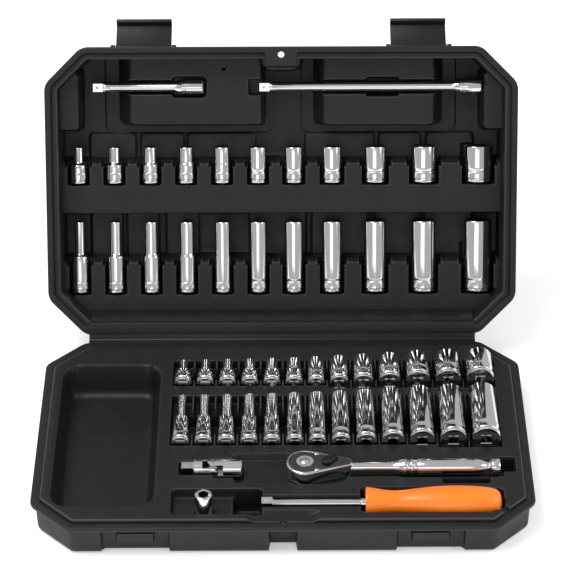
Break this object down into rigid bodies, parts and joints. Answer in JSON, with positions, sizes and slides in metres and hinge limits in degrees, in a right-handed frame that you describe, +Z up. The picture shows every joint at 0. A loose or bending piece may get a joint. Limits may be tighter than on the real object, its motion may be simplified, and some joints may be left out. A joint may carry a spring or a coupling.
{
  "type": "socket wrench set in case",
  "caption": "Quarter inch drive socket wrench set in a hinged twin-wall plastic case, with sockets, extensions, ratchet, spinner handle, universal joint and bit adapter.",
  "frame": {"origin": "centre of the base's flat underside", "axes": "+X to the user's right along the hinge, +Y from the latches towards the hinge, +Z up; the lid stands open"},
  "size_m": [0.324, 0.3218, 0.2159],
  "materials": {
    "case_plastic": "fine grained blow-moulded polyethylene",
    "tray_plastic": "fine grained blow-moulded polyethylene",
    "latch_plastic": "smooth moulded",
    "polished_chrome": "polished chrome plate",
    "satin_chrome": "satin chrome plate",
    "grip_plastic": "satin moulded",
    "black_plastic": "smooth moulded",
    "spring_steel": "plain"
  },
  "bodies": {
    "base": {"base_outer_shell": "case_plastic", "base_inner_tray": "tray_plastic", "hinge_web": "case_plastic"},
    "lid": {"lid_outer_shell": "case_plastic", "lid_inner_tray": "tray_plastic", "latch_pins": "spring_steel"},
    "latch_left": {"latch_left": "latch_plastic"},
    "latch_right": {"latch_right": "latch_plastic"},
    "ratchet": {"ratchet_body": "polished_chrome", "ratchet_cover": "satin_chrome", "ratchet_cover_screws": "satin_chrome"},
    "ratchet_drive": {"ratchet_drive_gear": "polished_chrome", "ratchet_drive_ball": "spring_steel"},
    "ratchet_selector": {"ratchet_selector": "black_plastic"},
    "ratchet_pawl": {"ratchet_pawl": "spring_steel"},
    "ratchet_button": {"ratchet_release_button": "polished_chrome"},
    "ujoint": {"ujoint_drive_yoke": "polished_chrome", "ujoint_ball": "spring_steel"},
    "ujoint_cross": {"ujoint_cross": "satin_chrome", "ujoint_pins": "satin_chrome"},
    "ujoint_socket": {"ujoint_socket_yoke": "polished_chrome"},
    "spinner": {"spinner_grip": "grip_plastic", "spinner_shaft": "polished_chrome", "spinner_ball": "spring_steel"},
    "bit_adapter": {"bit_adapter": "polished_chrome", "bit_adapter_magnet": "spring_steel"},
    "extension_short": {"extension_short": "polished_chrome", "extension_short_ball": "spring_steel"},
    "extension_long": {"extension_long": "polished_chrome", "extension_long_ball": "spring_steel"},
    "socket_inch_deep_11_32": {"socket_inch_deep_11_32": "polished_chrome"},
    "socket_inch_deep_1_2": {"socket_inch_deep_1_2": "polished_chrome"},
    "socket_inch_deep_3_8": {"socket_inch_deep_3_8": "polished_chrome"},
    "socket_inch_deep_5_16": {"socket_inch_deep_5_16": "polished_chrome"},
    "socket_inch_deep_7_16": {"socket_inch_deep_7_16": "polished_chrome"},
    "socket_inch_deep_9_16": {"socket_inch_deep_9_16": "polished_chrome"},
    "socket_inch_deep_small_sizes": {"socket_inch_deep_small_sizes": "polished_chrome"},
    "socket_inch_shallow_11_32": {"socket_inch_shallow_11_32": "polished_chrome"},
    "socket_inch_shallow_1_2": {"socket_inch_shallow_1_2": "polished_chrome"},
    "socket_inch_shallow_3_8": {"socket_inch_shallow_3_8": "polished_chrome"},
    "socket_inch_shallow_5_16": {"socket_inch_shallow_5_16": "polished_chrome"},
    "socket_inch_shallow_7_16": {"socket_inch_shallow_7_16": "polished_chrome"},
    "socket_inch_shallow_9_16": {"socket_inch_shallow_9_16": "polished_chrome"},
    "socket_inch_shallow_small_sizes": {"socket_inch_shallow_small_sizes": "polished_chrome"},
    "socket_metric_deep_10": {"socket_metric_deep_10": "polished_chrome"},
    "socket_metric_deep_11": {"socket_metric_deep_11": "polished_chrome"},
    "socket_metric_deep_12": {"socket_metric_deep_12": "polished_chrome"},
    "socket_metric_deep_13": {"socket_metric_deep_13": "polished_chrome"},
    "socket_metric_deep_14": {"socket_metric_deep_14": "polished_chrome"},
    "socket_metric_deep_8": {"socket_metric_deep_8": "polished_chrome"},
    "socket_metric_deep_9": {"socket_metric_deep_9": "polished_chrome"},
    "socket_metric_deep_small_sizes": {"socket_metric_deep_small_sizes": "polished_chrome"},
    "socket_metric_shallow_10": {"socket_metric_shallow_10": "polished_chrome"},
    "socket_metric_shallow_11": {"socket_metric_shallow_11": "polished_chrome"},
    "socket_metric_shallow_12": {"socket_metric_shallow_12": "polished_chrome"},
    "socket_metric_shallow_13": {"socket_metric_shallow_13": "polished_chrome"},
    "socket_metric_shallow_14": {"socket_metric_shallow_14": "polished_chrome"},
    "socket_metric_shallow_8": {"socket_metric_shallow_8": "polished_chrome"},
    "socket_metric_shallow_9": {"socket_metric_shallow_9": "polished_chrome"},
    "socket_metric_shallow_small_sizes": {"socket_metric_shallow_small_sizes": "polished_chrome"}
  },
  "joints": [
    {"name": "lid_hinge", "type": "hinge", "parent": "base", "child": "lid", "pos_m": [0, 0.1032, 0.0233], "axis": [-1, 0, 0], "range_deg": [-114.24, 14], "deforming": ["hinge_web"]},
    {"name": "latch_left_hinge", "type": "hinge", "parent": "lid", "child": "latch_left", "pos_m": [-0.094, 0.19162, 0.20458], "axis": [-1, 0, 0], "range_deg": [-135, 10]},
    {"name": "latch_right_hinge", "type": "hinge", "parent": "lid", "child": "latch_right", "pos_m": [0.094, 0.19162, 0.20458], "axis": [-1, 0, 0], "range_deg": [-135, 10]},
    {"name": "ratchet_lift", "type": "slide", "parent": "base", "child": "ratchet", "axis": [0, 0, 1], "range_m": [0, 0.06]},
    {"name": "ratchet_drive_spin", "type": "hinge", "parent": "ratchet", "child": "ratchet_drive", "pos_m": [0.0143, -0.045, 0.0284], "axis": [0, 0, 1], "continuous": true},
    {"name": "ratchet_selector_turn", "type": "hinge", "parent": "ratchet", "child": "ratchet_selector", "pos_m": [0.0287, -0.045, 0.0284], "axis": [0, 0, 1], "range_deg": [0, 40]},
    {"name": "ratchet_pawl_rock", "type": "hinge", "parent": "ratchet", "child": "ratchet_pawl", "pos_m": [0.0236, -0.045, 0.0284], "axis": [0, 0, 1], "range_deg": [0, 10]},
    {"name": "ratchet_button_press", "type": "slide", "parent": "ratchet_drive", "child": "ratchet_button", "axis": [0, 0, 1], "range_m": [-0.0012, 0], "stiffness_N_per_m": 600, "springref_m": 0.002},
    {"name": "ujoint_lift", "type": "slide", "parent": "base", "child": "ujoint", "axis": [0, 0, 1], "range_m": [0, 0.05]},
    {"name": "ujoint_drive_pivot", "type": "hinge", "parent": "ujoint", "child": "ujoint_cross", "pos_m": [-0.0454, -0.042, 0.0254], "axis": [0, 1, 0], "range_deg": [-25, 0]},
    {"name": "ujoint_socket_pivot", "type": "hinge", "parent": "ujoint_cross", "child": "ujoint_socket", "pos_m": [-0.0454, -0.042, 0.0254], "axis": [0, 0, 1], "range_deg": [-10, 10]},
    {"name": "spinner_lift", "type": "slide", "parent": "base", "child": "spinner", "axis": [0, 0, 1], "range_m": [0, 0.06]},
    {"name": "bit_adapter_lift", "type": "slide", "parent": "base", "child": "bit_adapter", "axis": [0, 0, 1], "range_m": [0, 0.05]},
    {"name": "extension_short_lift", "type": "slide", "parent": "lid", "child": "extension_short", "axis": [0, -0.9118, 0.4106], "range_m": [0, 0.05]},
    {"name": "extension_long_lift", "type": "slide", "parent": "lid", "child": "extension_long", "axis": [0, -0.9118, 0.4106], "range_m": [0, 0.05]},
    {"name": "inch_deep_11_32_lift", "type": "slide", "parent": "lid", "child": "socket_inch_deep_11_32", "axis": [0, -0.9118, 0.4106], "range_m": [0, 0.05]},
    {"name": "inch_deep_1_2_lift", "type": "slide", "parent": "lid", "child": "socket_inch_deep_1_2", "axis": [0, -0.9118, 0.4106], "range_m": [0, 0.05]},
    {"name": "inch_deep_3_8_lift", "type": "slide", "parent": "lid", "child": "socket_inch_deep_3_8", "axis": [0, -0.9118, 0.4106], "range_m": [0, 0.05]},
    {"name": "inch_deep_5_16_lift", "type": "slide", "parent": "lid", "child": "socket_inch_deep_5_16", "axis": [0, -0.9118, 0.4106], "range_m": [0, 0.05]},
    {"name": "inch_deep_7_16_lift", "type": "slide", "parent": "lid", "child": "socket_inch_deep_7_16", "axis": [0, -0.9118, 0.4106], "range_m": [0, 0.05]},
    {"name": "inch_deep_9_16_lift", "type": "slide", "parent": "lid", "child": "socket_inch_deep_9_16", "axis": [0, -0.9118, 0.4106], "range_m": [0, 0.05]},
    {"name": "inch_deep_small_sizes_lift", "type": "slide", "parent": "lid", "child": "socket_inch_deep_small_sizes", "axis": [0, -0.9118, 0.4106], "range_m": [0, 0.05]},
    {"name": "inch_shallow_11_32_lift", "type": "slide", "parent": "lid", "child": "socket_inch_shallow_11_32", "axis": [0, -0.9118, 0.4106], "range_m": [0, 0.05]},
    {"name": "inch_shallow_1_2_lift", "type": "slide", "parent": "lid", "child": "socket_inch_shallow_1_2", "axis": [0, -0.9118, 0.4106], "range_m": [0, 0.05]},
    {"name": "inch_shallow_3_8_lift", "type": "slide", "parent": "lid", "child": "socket_inch_shallow_3_8", "axis": [0, -0.9118, 0.4106], "range_m": [0, 0.05]},
    {"name": "inch_shallow_5_16_lift", "type": "slide", "parent": "lid", "child": "socket_inch_shallow_5_16", "axis": [0, -0.9118, 0.4106], "range_m": [0, 0.05]},
    {"name": "inch_shallow_7_16_lift", "type": "slide", "parent": "lid", "child": "socket_inch_shallow_7_16", "axis": [0, -0.9118, 0.4106], "range_m": [0, 0.05]},
    {"name": "inch_shallow_9_16_lift", "type": "slide", "parent": "lid", "child": "socket_inch_shallow_9_16", "axis": [0, -0.9118, 0.4106], "range_m": [0, 0.05]},
    {"name": "inch_shallow_small_sizes_lift", "type": "slide", "parent": "lid", "child": "socket_inch_shallow_small_sizes", "axis": [0, -0.9118, 0.4106], "range_m": [0, 0.05]},
    {"name": "metric_deep_10_lift", "type": "slide", "parent": "base", "child": "socket_metric_deep_10", "axis": [0, 0, 1], "range_m": [0, 0.05]},
    {"name": "metric_deep_11_lift", "type": "slide", "parent": "base", "child": "socket_metric_deep_11", "axis": [0, 0, 1], "range_m": [0, 0.05]},
    {"name": "metric_deep_12_lift", "type": "slide", "parent": "base", "child": "socket_metric_deep_12", "axis": [0, 0, 1], "range_m": [0, 0.05]},
    {"name": "metric_deep_13_lift", "type": "slide", "parent": "base", "child": "socket_metric_deep_13", "axis": [0, 0, 1], "range_m": [0, 0.05]},
    {"name": "metric_deep_14_lift", "type": "slide", "parent": "base", "child": "socket_metric_deep_14", "axis": [0, 0, 1], "range_m": [0, 0.05]},
    {"name": "metric_deep_8_lift", "type": "slide", "parent": "base", "child": "socket_metric_deep_8", "axis": [0, 0, 1], "range_m": [0, 0.05]},
    {"name": "metric_deep_9_lift", "type": "slide", "parent": "base", "child": "socket_metric_deep_9", "axis": [0, 0, 1], "range_m": [0, 0.05]},
    {"name": "metric_deep_small_sizes_lift", "type": "slide", "parent": "base", "child": "socket_metric_deep_small_sizes", "axis": [0, 0, 1], "range_m": [0, 0.05]},
    {"name": "metric_shallow_10_lift", "type": "slide", "parent": "base", "child": "socket_metric_shallow_10", "axis": [0, 0, 1], "range_m": [0, 0.05]},
    {"name": "metric_shallow_11_lift", "type": "slide", "parent": "base", "child": "socket_metric_shallow_11", "axis": [0, 0, 1], "range_m": [0, 0.05]},
    {"name": "metric_shallow_12_lift", "type": "slide", "parent": "base", "child": "socket_metric_shallow_12", "axis": [0, 0, 1], "range_m": [0, 0.05]},
    {"name": "metric_shallow_13_lift", "type": "slide", "parent": "base", "child": "socket_metric_shallow_13", "axis": [0, 0, 1], "range_m": [0, 0.05]},
    {"name": "metric_shallow_14_lift", "type": "slide", "parent": "base", "child": "socket_metric_shallow_14", "axis": [0, 0, 1], "range_m": [0, 0.05]},
    {"name": "metric_shallow_8_lift", "type": "slide", "parent": "base", "child": "socket_metric_shallow_8", "axis": [0, 0, 1], "range_m": [0, 0.05]},
    {"name": "metric_shallow_9_lift", "type": "slide", "parent": "base", "child": "socket_metric_shallow_9", "axis": [0, 0, 1], "range_m": [0, 0.05]},
    {"name": "metric_shallow_small_sizes_lift", "type": "slide", "parent": "base", "child": "socket_metric_shallow_small_sizes", "axis": [0, 0, 1], "range_m": [0, 0.05]}
  ],
  "couplings": [
    {"joint": "ratchet_pawl_rock", "follows": "ratchet_selector_turn", "ratio": 0.25}
  ]
}
